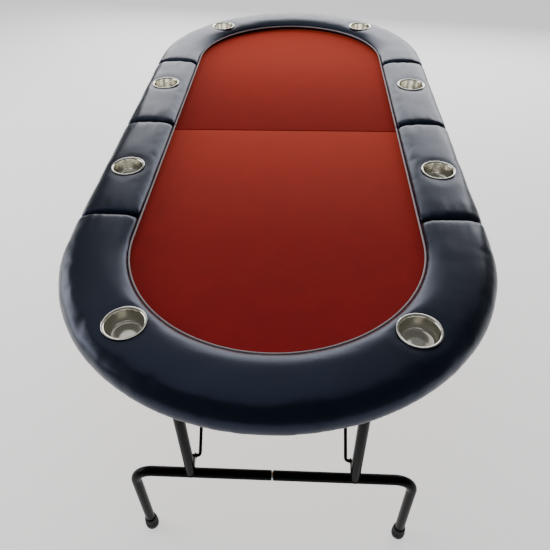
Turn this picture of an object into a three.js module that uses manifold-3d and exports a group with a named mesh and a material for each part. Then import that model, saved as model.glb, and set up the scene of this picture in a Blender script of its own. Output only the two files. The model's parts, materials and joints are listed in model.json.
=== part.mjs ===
// Folding poker table: two half tops that hinge together underneath, each with a cloth playing
// surface, a padded rail in three pieces, four drop-in cup holders and one folding leg frame.
// Millimetres, +Z up, the long axis along Y. The origin is on the floor under the middle of the
// table, and the near end is at -Y. Each half is built as the near one; the far one is turned
// half a turn about Z.
import * as THREE from "three";
import { mergeVertices } from "three/addons/utils/BufferGeometryUtils.js";
import Module from "manifold-3d";

const wasm = await Module();
wasm.setup();

// ---- driving dimensions ----
const LENGTH = 2120;
const WIDTH = 1000;
const RAIL_TOP = 760;
const RAIL_WIDTH = 158;
const SEAM_GAP = 3; // between the two half tops
const GAP = 0.3; // between pieces that touch

const CLOTH_TOP = 728;
const DECK_TOP = 722;
const DECK_THICK = 15;
const RAIL_BOARD_TOP = 740;
const RAIL_BOTTOM = 703; // lower edge of the upholstery round the rim
const PAD_SPLIT = 480; // from the middle to where the straight pad meets the end pad

const CUP_RIM = 45; // radii
const CUP_BODY = 39;
const CUP_DEPTH = 34; // the cup ends just above the deck
const CUP_HOLE = 41.5;
const SIDE_CUP = { x: 421, y: -272 };
const END_CUP = { x: 287, y: -850 };

const TUBE = 12.5; // outer radius of the leg tubes
const TUBE_BORE = 11;
const LEG_Y = -915;
const PIVOT_Z = 678;
const BAR_Z = 300; // the foot bar's axis
const UPRIGHT_X = 197.5;
const FOOT_X = { near: 340, far: 290 }; // the far feet pass inside the near ones as it folds
const FOOT_BEND = 48;
const FOOT_JOINT_GAP = 4; // bare sleeve that shows in the middle of the foot bar

const STAY_ROD = 4; // radius
const STAY_OFFSET = 20; // from the leg frame's plane to the stay's pivot
const STAY_PIVOT_Z = 345;
const LUG_ROUND = 7; // the lug's end round the stay's pivot
const STAY_TOP = { y: -622, z: 699 };

const HINGE_Z = 656; // low enough that the folded legs lie between the two half tops
const HINGE_PIN = 4; // radius
const HINGE_EYE = 8; // radius of the leaf round the pin
const GUSSET = { near: 0.4, thick: 5, root: -44 }; // across from the hinge's middle, and its y
const HINGE_X = 290;

// ---- derived ----
const HALF_WIDTH = WIDTH / 2;
const ARC_Y = -(LENGTH / 2 - HALF_WIDTH); // centre of the rounded end
const DECK_BOTTOM = DECK_TOP - DECK_THICK;
const DECK_INSET = 14; // the upholstery wraps round the boards' edges
const SIDES = [-1, 1];
const PAD_STEPS = 3; // half the facets on each round of the pad's section
const END_STEPS = 30; // facets round each end, the same for every piece there

// ---- materials ----
const finish = (color, roughness, metalness) =>
  new THREE.MeshStandardMaterial({ color, roughness, metalness });
const vinyl = finish(0x12161f, 0.38, 0);
const cloth = finish(0x9c1d14, 0.8, 0);
const board = finish(0xb08a5a, 0.7, 0);
const batten = finish(0xc9a878, 0.7, 0);
const stainless = finish(0xc8cac6, 0.2, 1);
const blackSteel = finish(0x0a0a0b, 0.4, 0.2);
const zincSteel = finish(0xa9adb0, 0.35, 1);
const rubber = finish(0x0b0b0b, 0.85, 0);

// ---- helpers ----
// A closed three.js geometry as a manifold solid.
function solid(geometry) {
  const bare = geometry.index ? geometry.toNonIndexed() : geometry.clone();
  bare.deleteAttribute("normal");
  bare.deleteAttribute("uv");
  const merged = mergeVertices(bare, 1e-4);
  const mesh = new wasm.Mesh({
    numProp: 3,
    vertProperties: merged.attributes.position.array,
    triVerts: new Uint32Array(merged.index.array),
  });
  return new wasm.Manifold(mesh);
}

// A manifold solid back as a geometry.
function geometryOf(made) {
  const mesh = made.getMesh();
  const geometry = new THREE.BufferGeometry();
  geometry.setAttribute("position", new THREE.BufferAttribute(mesh.vertProperties, 3));
  geometry.setIndex(new THREE.BufferAttribute(mesh.triVerts, 1));
  return geometry;
}

function named(name, geometry, material) {
  const mesh = new THREE.Mesh(geometry, material);
  mesh.name = name;
  return mesh;
}

function box(x0, x1, y0, y1, z0, z1) {
  const geometry = new THREE.BoxGeometry(x1 - x0, y1 - y0, z1 - z0);
  return geometry.translate((x0 + x1) / 2, (y0 + y1) / 2, (z0 + z1) / 2);
}

function uprightCylinder(radius, z0, z1, x, y, sides = 20) {
  const geometry = new THREE.CylinderGeometry(radius, radius, z1 - z0, sides);
  return geometry.rotateX(Math.PI / 2).translate(x, y, (z0 + z1) / 2);
}

function crossCylinder(radius, x0, x1, y, z, sides = 16) {
  const geometry = new THREE.CylinderGeometry(radius, radius, x1 - x0, sides);
  return geometry.rotateZ(Math.PI / 2).translate((x0 + x1) / 2, y, z);
}

// A flat outline in the XY plane, pulled up from z0 to z1.
function slab(shape, z0, z1) {
  const settings = { depth: z1 - z0, bevelEnabled: false, curveSegments: END_STEPS / 2 };
  return new THREE.ExtrudeGeometry(shape, settings).translate(0, 0, z0);
}

// A flat outline drawn in (y, z), pulled along X from x0 to x1.
function profileAlongX(shape, x0, x1, curveSegments = 8) {
  const settings = { depth: x1 - x0, bevelEnabled: false, curveSegments };
  const geometry = new THREE.ExtrudeGeometry(shape, settings);
  const toWorld = new THREE.Matrix4().makeBasis(
    new THREE.Vector3(0, 1, 0),
    new THREE.Vector3(0, 0, 1),
    new THREE.Vector3(1, 0, 0),
  );
  return geometry.applyMatrix4(toWorld).translate(x0, 0, 0);
}

// A run of straight stretches with round bends; each straight is one step and each bend several.
class BentPath extends THREE.Curve {
  constructor(corners, bends, bendSteps = 6) {
    super();
    this.marks = [corners[0]];
    for (let i = 1; i < corners.length - 1; i++) {
      this.addBend(corners[i - 1], corners[i], corners[i + 1], bends[i - 1], bendSteps);
    }
    this.marks.push(corners[corners.length - 1]);
  }
  addBend(before, corner, after, radius, steps) {
    const back = before.clone().sub(corner).normalize();
    const on = after.clone().sub(corner).normalize();
    const half = back.angleTo(on) / 2;
    const reach = radius / Math.tan(half);
    const bisector = back.clone().add(on).normalize();
    const centre = corner.clone().addScaledVector(bisector, radius / Math.sin(half));
    const start = corner.clone().addScaledVector(back, reach).sub(centre);
    const end = corner.clone().addScaledVector(on, reach).sub(centre);
    const axis = start.clone().cross(end).normalize();
    const sweep = start.angleTo(end);
    for (let s = 0; s <= steps; s++) {
      this.marks.push(start.clone().applyAxisAngle(axis, (sweep * s) / steps).add(centre));
    }
  }
  get steps() {
    return this.marks.length - 1;
  }
  getPoint(t) {
    const along = Math.min(Math.max(t, 0), 1) * this.steps;
    const i = Math.min(Math.floor(along), this.steps - 1);
    return this.marks[i].clone().lerp(this.marks[i + 1], along - i);
  }
  getUtoTmapping(u) {
    return u;
  }
}

function disc(radius, bore = 0) {
  const shape = new THREE.Shape().absarc(0, 0, radius, 0, 2 * Math.PI);
  if (bore) shape.holes.push(new THREE.Path().absarc(0, 0, bore, 0, 2 * Math.PI));
  return shape;
}

function tubeAlong(path, radius, bore, sides) {
  const settings = { steps: path.steps, extrudePath: path, curveSegments: sides / 2 };
  return new THREE.ExtrudeGeometry(disc(radius, bore), settings);
}

function straightTube(length, radius, bore, sides = 12) {
  const settings = { depth: length, bevelEnabled: false, curveSegments: sides / 2 };
  return new THREE.ExtrudeGeometry(disc(radius, bore), settings);
}

// ---- the top ----
// The near half's outline, pulled in by inset, from the seam round the end and back.
function halfOutline(inset, seamY = -SEAM_GAP / 2) {
  const r = HALF_WIDTH - inset;
  const shape = new THREE.Shape();
  shape.moveTo(r, seamY);
  shape.lineTo(-r, seamY);
  shape.lineTo(-r, ARC_Y);
  shape.absarc(0, ARC_Y, r, Math.PI, 2 * Math.PI, false);
  shape.closePath();
  return shape;
}

// The same outline with the middle left out, so that it runs round like a horseshoe.
function horseshoe(inset, innerInset) {
  const r = HALF_WIDTH - inset;
  const inner = HALF_WIDTH - innerInset;
  const shape = new THREE.Shape();
  shape.moveTo(r, -SEAM_GAP / 2);
  shape.lineTo(inner, -SEAM_GAP / 2);
  shape.lineTo(inner, ARC_Y);
  shape.absarc(0, ARC_Y, inner, 0, -Math.PI, true);
  shape.lineTo(-inner, -SEAM_GAP / 2);
  shape.lineTo(-r, -SEAM_GAP / 2);
  shape.lineTo(-r, ARC_Y);
  shape.absarc(0, ARC_Y, r, Math.PI, 2 * Math.PI, false);
  shape.closePath();
  return shape;
}

const cupPlaces = SIDES.flatMap((side) => [
  { side, kind: "side", x: side * SIDE_CUP.x, y: SIDE_CUP.y },
  { side, kind: "end", x: side * END_CUP.x, y: END_CUP.y },
]);

function withCupHoles(geometry, places = cupPlaces) {
  return places.reduce((made, cup) => {
    const drill = uprightCylinder(CUP_HOLE, RAIL_BOTTOM - 20, RAIL_TOP + 20, cup.x, cup.y);
    return made.subtract(solid(drill));
  }, solid(geometry));
}

function deck() {
  return slab(halfOutline(DECK_INSET), DECK_BOTTOM, DECK_TOP);
}

function railBoard() {
  const shape = horseshoe(DECK_INSET, RAIL_WIDTH - 8);
  return geometryOf(withCupHoles(slab(shape, DECK_TOP + GAP, RAIL_BOARD_TOP)));
}

// Foam and cloth over the middle of the deck.
function playingSurface() {
  return slab(halfOutline(RAIL_WIDTH + 0.5), DECK_TOP + GAP, CLOTH_TOP);
}

// The pad's section: across is 0 at the rim and grows inwards. It caps the rail board, wraps its
// outer edge down past the deck, and its inner edge down to the cloth.
function padSection() {
  const top = RAIL_TOP;
  const rimRound = 28;
  const innerRound = 9;
  const shape = new THREE.Shape();
  const wall = DECK_INSET - GAP;
  const innerWall = RAIL_WIDTH - 8 + GAP;
  shape.moveTo(3, RAIL_BOTTOM);
  shape.lineTo(wall, RAIL_BOTTOM);
  shape.lineTo(wall, RAIL_BOARD_TOP + GAP);
  shape.lineTo(innerWall, RAIL_BOARD_TOP + GAP);
  shape.lineTo(innerWall, CLOTH_TOP + 1);
  shape.lineTo(RAIL_WIDTH - 1, CLOTH_TOP + 1);
  shape.lineTo(RAIL_WIDTH, CLOTH_TOP + 4);
  shape.absarc(RAIL_WIDTH - innerRound, top - innerRound - 2, innerRound, 0, Math.PI / 2, false);
  shape.lineTo(RAIL_WIDTH / 2, top);
  shape.absarc(rimRound, top - rimRound - 2, rimRound, Math.PI / 2, Math.PI, false);
  shape.lineTo(0, RAIL_BOTTOM + 8);
  shape.closePath();
  return shape;
}

// The pad's section carried through a row of stations, each a place on the rim and the way in.
function padAlong(stations) {
  const section = padSection().getPoints(PAD_STEPS);
  const count = section.length;
  const corners = stations.flatMap((at) =>
    section.map((p) => [at.x + at.inX * p.x, at.y + at.inY * p.x, p.y]),
  );
  const faces = [];
  for (let i = 0; i + 1 < stations.length; i++) {
    for (let j = 0; j < count; j++) {
      const here = i * count + j;
      const beside = i * count + ((j + 1) % count);
      faces.push([here, beside, beside + count], [here, beside + count, here + count]);
    }
  }
  const last = (stations.length - 1) * count;
  for (const [a, b, c] of THREE.ShapeUtils.triangulateShape(section, [])) {
    faces.push([c, b, a], [last + a, last + b, last + c]);
  }
  const geometry = new THREE.BufferGeometry();
  geometry.setAttribute("position", new THREE.Float32BufferAttribute(corners.flat(), 3));
  geometry.setIndex(faces.flat());
  return geometry;
}

function sidePad(side) {
  const ends = [-SEAM_GAP / 2 - 0.5, -PAD_SPLIT];
  if (side > 0) ends.reverse();
  const stations = ends.map((y) => ({ x: side * HALF_WIDTH, y, inX: -side, inY: 0 }));
  const cup = cupPlaces.filter((c) => c.side === side && c.kind === "side");
  return geometryOf(withCupHoles(padAlong(stations), cup));
}

// Round the end, with a straight stretch on each side that reaches the side pads.
function endPad() {
  const stations = [{ x: -HALF_WIDTH, y: -PAD_SPLIT - GAP, inX: 1, inY: 0 }];
  for (let step = 0; step <= END_STEPS; step++) {
    const turn = Math.PI + (Math.PI * step) / END_STEPS;
    const inX = -Math.cos(turn);
    const inY = -Math.sin(turn);
    stations.push({ x: -HALF_WIDTH * inX, y: ARC_Y - HALF_WIDTH * inY, inX, inY });
  }
  stations.push({ x: HALF_WIDTH, y: -PAD_SPLIT - GAP, inX: -1, inY: 0 });
  const cups = cupPlaces.filter((c) => c.kind === "end");
  return geometryOf(withCupHoles(padAlong(stations), cups));
}

// A drop-in cup with a rolled rim that rests on the pad.
function cupHolder(cup) {
  const rest = RAIL_TOP + GAP;
  const floor = rest - CUP_DEPTH;
  const wall = 1;
  const profile = [
    [0, floor],
    [CUP_BODY - 6, floor],
    [CUP_BODY - 2, floor + 5],
    [CUP_BODY + 1, rest],
    [CUP_RIM, rest],
    [CUP_RIM, rest + 1.5],
    [CUP_BODY, rest + 1.7],
    [CUP_BODY - 2 - wall, floor + 5],
    [CUP_BODY - 6 - wall, floor + wall],
    [0, floor + wall],
  ].map(([r, z]) => new THREE.Vector2(r, z));
  const turned = new THREE.LatheGeometry(profile, 20).rotateX(Math.PI / 2);
  return turned.translate(cup.x, cup.y, 0);
}

// ---- under the top ----
const BATTEN_BOTTOM = DECK_BOTTOM - 18;

function seamBatten() {
  return box(-430, 430, -60, -SEAM_GAP / 2, BATTEN_BOTTOM, DECK_BOTTOM - GAP);
}

function sideBatten(side) {
  const batten = box(362, 384, -760, -60 - GAP, BATTEN_BOTTOM, DECK_BOTTOM - GAP);
  return side > 0 ? batten : batten.translate(-(362 + 384), 0, 0);
}

// A plate under the seam batten with one gusset that reaches down to the pin. The two leaves of
// a hinge have their gussets side by side.
function hingeLeaf(x) {
  const plateTop = BATTEN_BOTTOM - GAP;
  const plateThick = 3;
  const inside = plateTop - plateThick / 2; // the gusset's root, inside the plate
  const gusset = new THREE.Shape();
  gusset.moveTo(GUSSET.root, inside);
  gusset.lineTo(-HINGE_EYE, HINGE_Z);
  gusset.absarc(0, HINGE_Z, HINGE_EYE, Math.PI, 2.5 * Math.PI, false);
  gusset.lineTo(-SEAM_GAP, inside);
  gusset.closePath();
  const plate = box(x - 30, x + 30, -58, -SEAM_GAP / 2, plateTop - plateThick, plateTop);
  const made = solid(plate).add(solid(profileAlongX(gusset, x + GUSSET.near, x + GUSSET.near + GUSSET.thick)));
  const drill = crossCylinder(HINGE_PIN + 0.4, x - 10, x + 10, 0, HINGE_Z);
  return geometryOf(made.subtract(solid(drill)));
}

// A headed pin through both gussets.
function hingePin(x) {
  const headRadius = HINGE_PIN + 2.5;
  const headThick = 3;
  const headFrom = GUSSET.near + GUSSET.thick + 0.8;
  const reach = headFrom + headThick;
  const shaft = solid(crossCylinder(HINGE_PIN, x - reach, x + reach, 0, HINGE_Z, 16));
  return geometryOf(
    SIDES.reduce((made, side) => {
      const ends = [x + side * headFrom, x + side * reach].sort((a, b) => a - b);
      return made.add(solid(crossCylinder(headRadius, ends[0], ends[1], 0, HINGE_Z, 16)));
    }, shaft),
  );
}

// The strap that holds the leg's pivot tube up against the deck.
function pivotStrap(x) {
  const inner = TUBE + 0.7;
  const outer = inner + 3;
  const top = DECK_BOTTOM - GAP - PIVOT_Z;
  const strap = new THREE.Shape();
  strap.moveTo(-36, top);
  strap.lineTo(-36, top - 3);
  strap.lineTo(-outer, top - 3);
  strap.lineTo(-outer, 0);
  strap.absarc(0, 0, outer, Math.PI, 2 * Math.PI, false);
  strap.lineTo(outer, top - 3);
  strap.lineTo(36, top - 3);
  strap.lineTo(36, top);
  strap.lineTo(inner, top);
  strap.lineTo(inner, 0);
  strap.absarc(0, 0, inner, 0, -Math.PI, true);
  strap.lineTo(-inner, top);
  strap.closePath();
  return profileAlongX(strap, x - 14, x + 14, 12).translate(0, LEG_Y, PIVOT_Z);
}

// The spring clip that the stay's top bar snaps into; its mouth faces the seam.
function stayCatch() {
  const top = DECK_BOTTOM - GAP;
  const back = STAY_TOP.y - STAY_ROD - 0.8;
  const under = STAY_TOP.z - STAY_ROD - 1;
  const thick = 2.2;
  const clip = new THREE.Shape();
  clip.moveTo(STAY_TOP.y - 32, top);
  clip.lineTo(STAY_TOP.y - 32, top - thick);
  clip.lineTo(back - thick, top - thick);
  clip.lineTo(back - thick, under - thick);
  clip.lineTo(STAY_TOP.y - 1, under - thick);
  clip.lineTo(STAY_TOP.y - 1, under);
  clip.lineTo(back, under);
  clip.lineTo(back, top - thick);
  clip.lineTo(STAY_TOP.y + 24, top - thick);
  clip.lineTo(STAY_TOP.y + 24, top);
  clip.closePath();
  return profileAlongX(clip, -20, 20);
}

// ---- the leg frame ----
function pivotTube() {
  const length = 2 * UPRIGHT_X + 84;
  const tube = straightTube(length, TUBE, TUBE_BORE).rotateY(Math.PI / 2);
  return tube.translate(-length / 2, LEG_Y, PIVOT_Z);
}

// A tube coped over the pivot tube and the foot bar, with a lug that takes the stay's end.
function upright(side) {
  const x = side * UPRIGHT_X;
  const tube = straightTube(PIVOT_Z - BAR_Z, TUBE, TUBE_BORE).translate(x, LEG_Y, BAR_Z);
  const plateInner = UPRIGHT_X - TUBE - 2.5;
  const ends = [side * plateInner, side * (plateInner + 3.5)].sort((a, b) => a - b);
  const lug = new THREE.Shape();
  lug.moveTo(-6, -14);
  lug.lineTo(STAY_OFFSET, -LUG_ROUND);
  lug.absarc(STAY_OFFSET, 0, LUG_ROUND, -Math.PI / 2, Math.PI / 2, false);
  lug.lineTo(-6, 14);
  lug.closePath();
  const plate = profileAlongX(lug, ends[0], ends[1]).translate(0, LEG_Y, STAY_PIVOT_Z);
  const stayY = LEG_Y + STAY_OFFSET;
  const cutters = [
    crossCylinder(TUBE + GAP, x - 40, x + 40, LEG_Y, PIVOT_Z),
    crossCylinder(TUBE + GAP, x - 40, x + 40, LEG_Y, BAR_Z),
    crossCylinder(STAY_ROD + 0.5, x - 40, x + 40, stayY, STAY_PIVOT_Z),
  ];
  const bored = uprightCylinder(TUBE_BORE, BAR_Z, PIVOT_Z, x, LEG_Y, 16);
  let made = solid(tube).add(solid(plate).subtract(solid(bored)));
  for (const cutter of cutters) made = made.subtract(solid(cutter));
  const pieces = made.decompose().sort((a, b) => b.volume() - a.volume());
  return geometryOf(pieces[0]);
}

// Half of the foot bar, bent down at its end into a foot.
function footTube(side, footX) {
  const capFloor = 7;
  const path = new BentPath(
    [
      new THREE.Vector3((side * FOOT_JOINT_GAP) / 2, LEG_Y, BAR_Z),
      new THREE.Vector3(side * footX, LEG_Y, BAR_Z),
      new THREE.Vector3(side * footX, LEG_Y, capFloor),
    ],
    [FOOT_BEND],
    6,
  );
  return tubeAlong(path, TUBE, TUBE_BORE, 12);
}

// The bare sleeve inside the joint of the two foot tubes.
function footSleeve() {
  const reach = 60;
  const sleeve = straightTube(2 * reach, TUBE_BORE - 0.5, TUBE_BORE - 2.5);
  return sleeve.rotateY(Math.PI / 2).translate(-reach, LEG_Y, BAR_Z);
}

function footCap(side, footX) {
  const bore = TUBE + GAP;
  const profile = [
    [0, 0],
    [12, 0],
    [17.5, 5],
    [18, 28],
    [15.5, 44],
    [bore, 44],
    [bore, 7 - GAP],
    [0, 7 - GAP],
  ].map(([r, z]) => new THREE.Vector2(r, z));
  const turned = new THREE.LatheGeometry(profile, 16).rotateX(Math.PI / 2);
  return turned.translate(side * footX, LEG_Y, 0);
}

// A bent rod: its ends turn out through the lugs, and its top bar sits in the catch.
function stay() {
  const armFoot = UPRIGHT_X - 24;
  const armHead = armFoot - 14;
  const endX = UPRIGHT_X - 4;
  const foot = { y: LEG_Y + STAY_OFFSET, z: STAY_PIVOT_Z };
  const at = (x, point) => new THREE.Vector3(x, point.y, point.z);
  const path = new BentPath(
    [at(-endX, foot), at(-armFoot, foot), at(-armHead, STAY_TOP)].concat([
      at(armHead, STAY_TOP),
      at(armFoot, foot),
      at(endX, foot),
    ]),
    [8, 16, 16, 8],
    4,
  );
  return tubeAlong(path, STAY_ROD, 0, 8);
}

// ---- assembly ----
function buildHalf(end) {
  const turned = end === "far";
  const half = new THREE.Group();
  const sideName = (side) => (side < 0 === !turned ? "left" : "right");
  const put = (name, geometry, material) => half.add(named(name, geometry, material));

  put(`${end}_deck`, deck(), board);
  put(`${end}_playing_surface`, playingSurface(), cloth);
  put(`${end}_rail_board`, railBoard(), board);
  put(`${end}_end_pad`, endPad(), vinyl);
  put(`${end}_seam_batten`, seamBatten(), batten);
  put(`${end}_stay_catch`, stayCatch(), zincSteel);
  put(`${end}_pivot_tube`, pivotTube(), blackSteel);
  put(`${end}_foot_sleeve`, footSleeve(), zincSteel);
  put(`${end}_stay`, stay(), blackSteel);
  for (const side of SIDES) {
    const name = sideName(side);
    put(`${end}_side_pad_${name}`, sidePad(side), vinyl);
    put(`${end}_side_batten_${name}`, sideBatten(side), batten);
    put(`${end}_hinge_leaf_${name}`, hingeLeaf(side * HINGE_X), zincSteel);
    put(`${end}_pivot_strap_${name}`, pivotStrap(side * (UPRIGHT_X + 28)), zincSteel);
    put(`${end}_upright_${name}`, upright(side), blackSteel);
    put(`${end}_foot_tube_${name}`, footTube(side, FOOT_X[end]), blackSteel);
    put(`${end}_foot_cap_${name}`, footCap(side, FOOT_X[end]), rubber);
  }
  for (const cup of cupPlaces) {
    put(`${end}_${cup.kind}_cup_${sideName(cup.side)}`, cupHolder(cup), stainless);
  }
  if (turned) half.rotation.z = Math.PI;
  return half;
}

const table = new THREE.Group();
table.add(buildHalf("near"), buildHalf("far"));
for (const side of SIDES) {
  const name = side < 0 ? "left" : "right";
  table.add(named(`hinge_pin_${name}`, hingePin(side * HINGE_X), zincSteel));
}

export default table;
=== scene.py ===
import json
import math

import bmesh
import bpy
from mathutils import Matrix, Vector, noise


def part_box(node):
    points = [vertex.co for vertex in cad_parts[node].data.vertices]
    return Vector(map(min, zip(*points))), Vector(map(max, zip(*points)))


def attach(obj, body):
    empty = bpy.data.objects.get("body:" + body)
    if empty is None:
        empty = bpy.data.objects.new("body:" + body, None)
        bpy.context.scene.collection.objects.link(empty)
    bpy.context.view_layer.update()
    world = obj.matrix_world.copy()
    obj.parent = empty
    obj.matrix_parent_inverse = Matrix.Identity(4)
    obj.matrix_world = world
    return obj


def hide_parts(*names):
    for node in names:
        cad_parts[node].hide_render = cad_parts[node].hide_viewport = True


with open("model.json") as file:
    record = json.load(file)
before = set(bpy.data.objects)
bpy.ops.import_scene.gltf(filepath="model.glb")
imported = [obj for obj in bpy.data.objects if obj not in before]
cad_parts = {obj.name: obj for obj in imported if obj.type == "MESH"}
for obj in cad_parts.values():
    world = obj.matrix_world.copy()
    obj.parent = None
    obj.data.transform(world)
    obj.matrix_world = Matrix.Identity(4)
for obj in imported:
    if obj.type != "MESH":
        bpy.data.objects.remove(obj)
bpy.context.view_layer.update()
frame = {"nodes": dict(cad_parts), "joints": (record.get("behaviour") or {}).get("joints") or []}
bpy.ops.object.select_all(action="DESELECT")
print("frame loaded")

# places that the frame gives
joints = {joint["name"]: joint for joint in frame["joints"]}
padLow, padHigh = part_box("near_end_pad")
sideLow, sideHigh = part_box("near_side_pad_right")
clothLow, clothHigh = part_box("near_playing_surface")
deckLow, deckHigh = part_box("near_deck")
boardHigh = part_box("near_rail_board")[1]
halfWidth = padHigh.x
arcY = padLow.y + halfWidth  # centre of the rounded end
railWidth = sideHigh.x - sideLow.x
railTop = sideHigh.z
railBottom = sideLow.z
seamY = clothHigh.y  # the near half's edge at the fold
padSplit = sideLow.y  # where the side pad meets the end pad
deckInset = halfWidth - deckHigh.x
boardTop = boardHigh.z
clothTop = clothHigh.z
halfTurn = Matrix.Rotation(math.pi, 4, "Z")
sides = (-1, 1)
weld = 0.00001  # points closer than this are one
onPlane = 1e-5  # and closer than this to a plane are on it
cup = {
    "rim": 0.045,
    "throat": 0.0395,
    "foot": 0.036,
    "wall": 0.0007,
    "corner": 0.006,
    "hole": 0.0418,
    "rimRest": 0.0017,  # how far the rim stands over the pad
}


def sideName(side):
    return "left" if side < 0 else "right"


def cupCentre(kind, side):
    low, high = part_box(f"near_{kind}_cup_{sideName(side)}")
    return Vector(((low.x + high.x) / 2, (low.y + high.y) / 2, low.z))


nearCups = [(kind, side, cupCentre(kind, side)) for kind in ("side", "end") for side in sides]


# materials
def colour(code):
    # sRGB hex to the linear values that a shader takes
    parts = [int(code[i : i + 2], 16) / 255 for i in (1, 3, 5)]
    return tuple(p / 12.92 if p <= 0.04045 else ((p + 0.055) / 1.055) ** 2.4 for p in parts) + (1,)


def addNode(tree, kind, settings, inputs):
    made = tree.nodes.new(kind)
    for name, value in settings.items():
        setattr(made, name, value)
    for name, value in inputs.items():
        if isinstance(value, bpy.types.NodeSocket):
            tree.links.new(value, made.inputs[name])
        else:
            made.inputs[name].default_value = value
    return made


def newMaterial(name, sockets):
    material = bpy.data.materials.new(name)
    material.use_nodes = True
    tree = material.node_tree
    shader = tree.nodes["Principled BSDF"]
    for socket, value in sockets.items():
        shader.inputs[socket].default_value = value
    place = addNode(tree, "ShaderNodeTexCoord", {}, {}).outputs["Object"]
    return material, tree, shader, place


def spots(tree, place, size, detail=2.0, stretch=None):
    # noise whose blotches are about size metres across
    if stretch:
        place = addNode(
            tree, "ShaderNodeMapping", {"vector_type": "POINT"}, {"Vector": place, "Scale": stretch}
        ).outputs["Vector"]
    return addNode(
        tree, "ShaderNodeTexNoise", {}, {"Vector": place, "Scale": 1 / size, "Detail": detail}
    ).outputs["Fac"]


def blendColours(tree, factor, dark, light):
    return addNode(
        tree,
        "ShaderNodeMix",
        {"data_type": "RGBA"},
        {0: factor, 6: colour(dark), 7: colour(light)},
    ).outputs[2]


def spread(tree, factor, low, high):
    return addNode(
        tree, "ShaderNodeMapRange", {}, {"Value": factor, "To Min": low, "To Max": high}
    ).outputs["Result"]


def raised(tree, height, distance, strength=1.0, under=None):
    inputs = {"Height": height, "Distance": distance, "Strength": strength}
    if under:
        inputs["Normal"] = under
    return addNode(tree, "ShaderNodeBump", {}, inputs).outputs["Normal"]


vinylLook = {"grain": 0.0016, "grainDeep": 0.00012, "slackDeep": 0.0007, "roughness": (0.27, 0.36)}


def embossedVinyl():
    # PVC leathercloth: a pebbled skin with a satin gloss, a little duller in some patches
    sockets = {"IOR": 1.52, "Specular IOR Level": 0.5, "Specular Tint": colour("#A9BAE8")}
    material, tree, shader, place = newMaterial("embossedVinyl", sockets)
    cloudy = spots(tree, place, 0.09)
    tone = blendColours(tree, cloudy, "#0B0F18", "#151B27")
    tree.links.new(tone, shader.inputs["Base Color"])
    tree.links.new(
        spread(tree, spots(tree, place, 0.03), *vinylLook["roughness"]),
        shader.inputs["Roughness"],
    )
    pebble = addNode(
        tree,
        "ShaderNodeTexVoronoi",
        {"feature": "SMOOTH_F1"},
        {"Vector": place, "Scale": 1 / vinylLook["grain"], "Smoothness": 0.4},
    ).outputs["Distance"]
    slack = raised(tree, spots(tree, place, 0.055, 1.0), vinylLook["slackDeep"], 0.6)
    tree.links.new(
        raised(tree, pebble, vinylLook["grainDeep"], 0.8, slack), shader.inputs["Normal"]
    )
    return material


clothLook = {"thread": 0.0012, "deep": 0.00025, "patch": 0.05}


def brushedCloth():
    # raised polyester cloth: short fibres lie over the weave and catch light at a low angle
    sockets = {
        "Roughness": 0.9,
        "IOR": 1.45,
        "Specular IOR Level": 0.25,
        "Sheen Weight": 1.0,
        "Sheen Roughness": 0.42,
        "Sheen Tint": colour("#FF6428"),
    }
    material, tree, shader, place = newMaterial("brushedCloth", sockets)
    fibre = spots(tree, place, clothLook["thread"], 3.0)
    worn = spots(tree, place, clothLook["patch"], 2.0)
    mixed = addNode(
        tree, "ShaderNodeMath", {"operation": "MULTIPLY_ADD"}, {0: worn, 1: 0.35, 2: fibre}
    ).outputs[0]
    tone = blendColours(tree, mixed, "#62041A", "#A81218")
    tree.links.new(tone, shader.inputs["Base Color"])
    tree.links.new(raised(tree, fibre, clothLook["deep"], 0.7), shader.inputs["Normal"])
    return material


def polishedStainless():
    # spun and polished stainless: bright, with faint rings from the spinning
    sockets = {"Base Color": colour("#E2DFD4"), "Metallic": 1.0}
    material, tree, shader, place = newMaterial("polishedStainless", sockets)
    rings = spots(tree, place, 0.012, 3.0, (0.15, 0.15, 6.0))
    tree.links.new(spread(tree, rings, 0.14, 0.3), shader.inputs["Roughness"])
    tree.links.new(raised(tree, spots(tree, place, 0.02), 0.0009, 0.5), shader.inputs["Normal"])
    return material


def powderCoat():
    # gloss black powder coat: a deep black with fine orange peel
    sockets = {"IOR": 1.5, "Specular IOR Level": 0.06}
    material, tree, shader, place = newMaterial("powderCoat", sockets)
    tone = blendColours(tree, spots(tree, place, 0.04), "#030304", "#08080A")
    tree.links.new(tone, shader.inputs["Base Color"])
    peel = spots(tree, place, 0.0022, 1.0)
    tree.links.new(
        spread(tree, spots(tree, place, 0.01), 0.24, 0.34), shader.inputs["Roughness"]
    )
    tree.links.new(raised(tree, peel, 0.00008, 0.6), shader.inputs["Normal"])
    return material


def zincPlate():
    # bright zinc plate: grey-white metal with a cloudy bloom
    sockets = {"Metallic": 1.0}
    material, tree, shader, place = newMaterial("zincPlate", sockets)
    bloom = spots(tree, place, 0.008, 3.0)
    tree.links.new(blendColours(tree, bloom, "#8F9498", "#C9CDCF"), shader.inputs["Base Color"])
    tree.links.new(spread(tree, bloom, 0.25, 0.45), shader.inputs["Roughness"])
    tree.links.new(raised(tree, spots(tree, place, 0.0015), 0.00005), shader.inputs["Normal"])
    return material


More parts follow.
